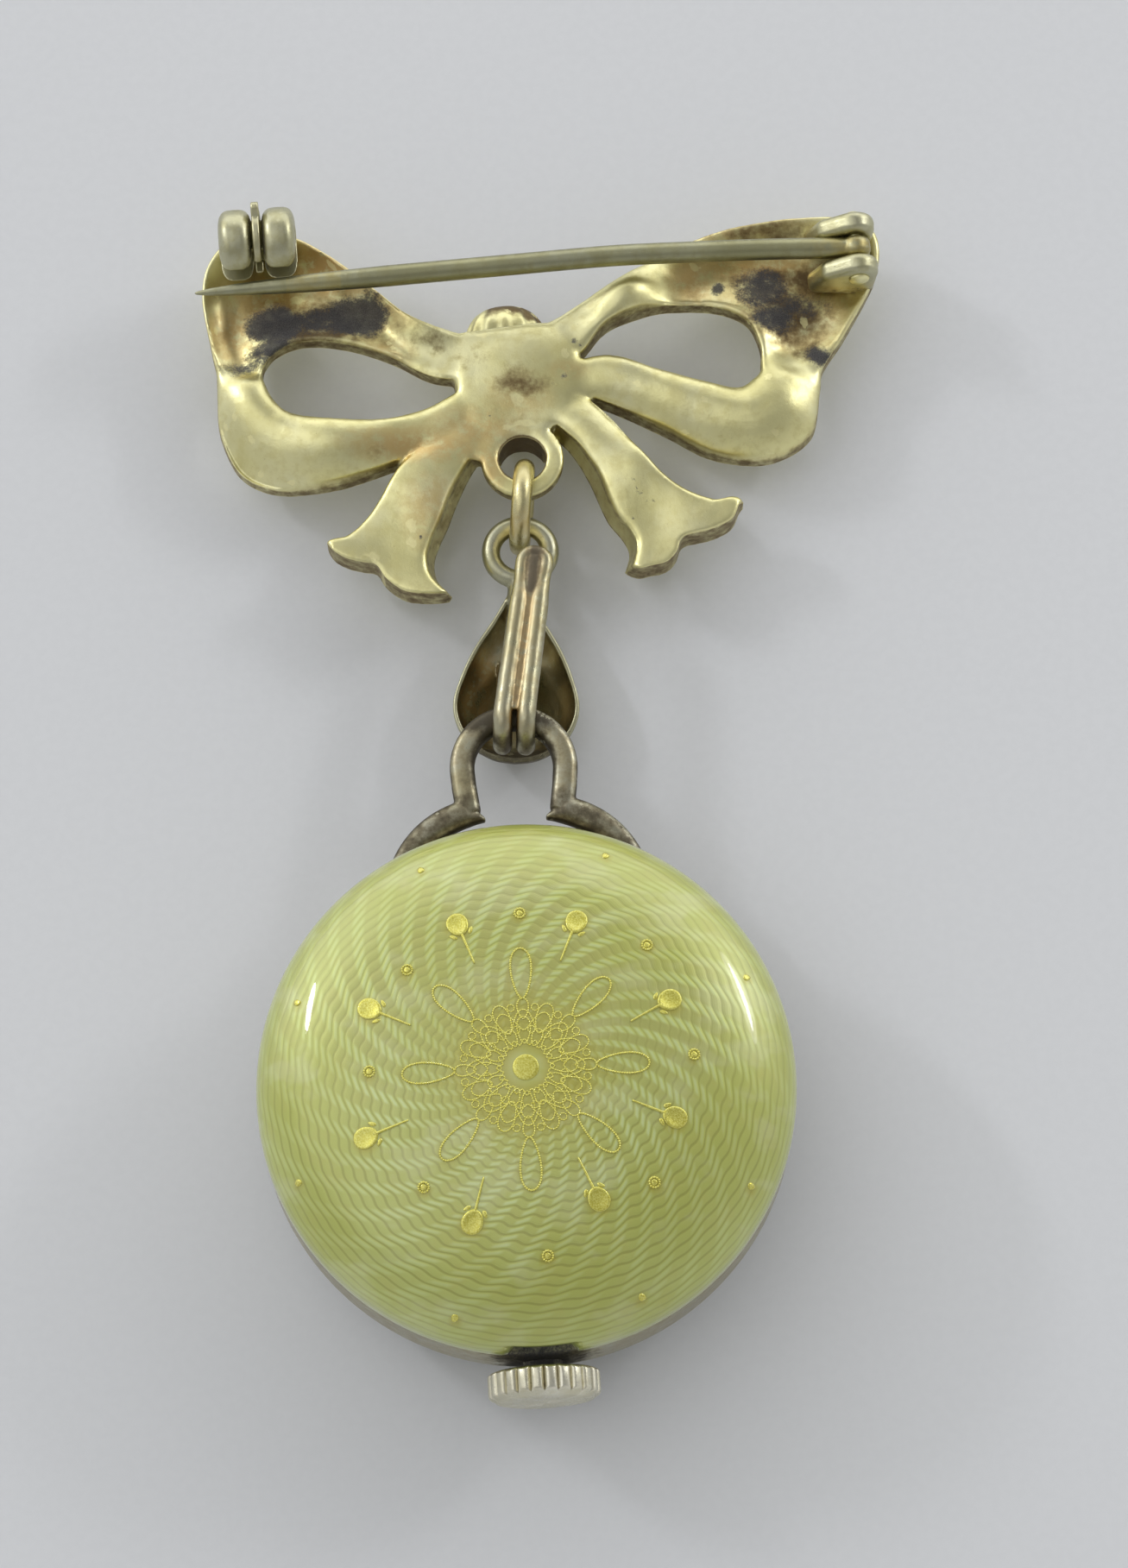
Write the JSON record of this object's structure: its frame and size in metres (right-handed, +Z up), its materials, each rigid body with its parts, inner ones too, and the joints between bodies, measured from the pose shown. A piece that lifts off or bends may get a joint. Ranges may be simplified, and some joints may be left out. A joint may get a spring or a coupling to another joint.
{
  "type": "chatelaine watch pin",
  "caption": "Ribbon bow brooch with a pin and safety catch, from which a pear drop and wire hook carry a domed, enamelled pendant watch with a fluted crown.",
  "frame": {"origin": "middle of the jewel's outline, on the surface that it lies on", "axes": "+Z up and out of the jewel's back, +Y from the crown towards the bow, +X to the hinge side of the bow"},
  "size_m": [0.0355, 0.0622, 0.0117],
  "materials": {
    "gilt": "worn gilt metal, tarnished in the hollows",
    "silver": "darkened silver-gilt",
    "enamel": "translucent yellow-green enamel over engine turning",
    "crystal": "clear crystal",
    "dial": "white enamel",
    "movement": "gilt plates",
    "steel": "nickelled steel",
    "hands": "blued steel"
  },
  "bodies": {
    "jewel": {"bow": "gilt", "hinge_rivet": "gilt", "jump_ring": "gilt", "drop_hook": "silver", "watch_case": "silver", "enamel_back": "enamel", "bezel": "silver", "crystal": "crystal", "dial": "dial", "movement": "movement"},
    "pin": {"pin_stem": "gilt"},
    "lever": {"catch_lever": "gilt"},
    "stem": {"winding_stem": "steel"},
    "crown": {"crown": "steel"},
    "minute_hand": {"minute_hand": "hands"},
    "hour_hand": {"hour_hand": "hands"}
  },
  "joints": [
    {"name": "pin_hinge", "type": "hinge", "parent": "jewel", "child": "pin", "pos_m": [0.01644, 0.02856, 0.005], "axis": [-0.0732, 0.9973, 0], "range_deg": [0, 80]},
    {"name": "catch_turn", "type": "hinge", "parent": "jewel", "child": "lever", "pos_m": [-0.01445, 0.02894, 0.005], "axis": [0.9973, 0.0732, 0], "range_deg": [0, 100]},
    {"name": "crown_pull", "type": "slide", "parent": "jewel", "child": "stem", "axis": [0.061, -0.9981, 0], "range_m": [0, 0.0007]},
    {"name": "crown_turn", "type": "hinge", "parent": "stem", "child": "crown", "pos_m": [0.00039, -0.02959, 0.0052], "axis": [0.061, -0.9981, 0], "continuous": true},
    {"name": "minute_turn", "type": "hinge", "parent": "jewel", "child": "minute_hand", "pos_m": [-0.00043, -0.01617, 0.0024], "axis": [0, 0, -1], "continuous": true},
    {"name": "hour_turn", "type": "hinge", "parent": "jewel", "child": "hour_hand", "pos_m": [-0.00043, -0.01617, 0.0029], "axis": [0, 0, -1], "continuous": true}
  ],
  "couplings": [
    {"joint": "hour_turn", "follows": "minute_turn", "ratio": 0.083333}
  ]
}
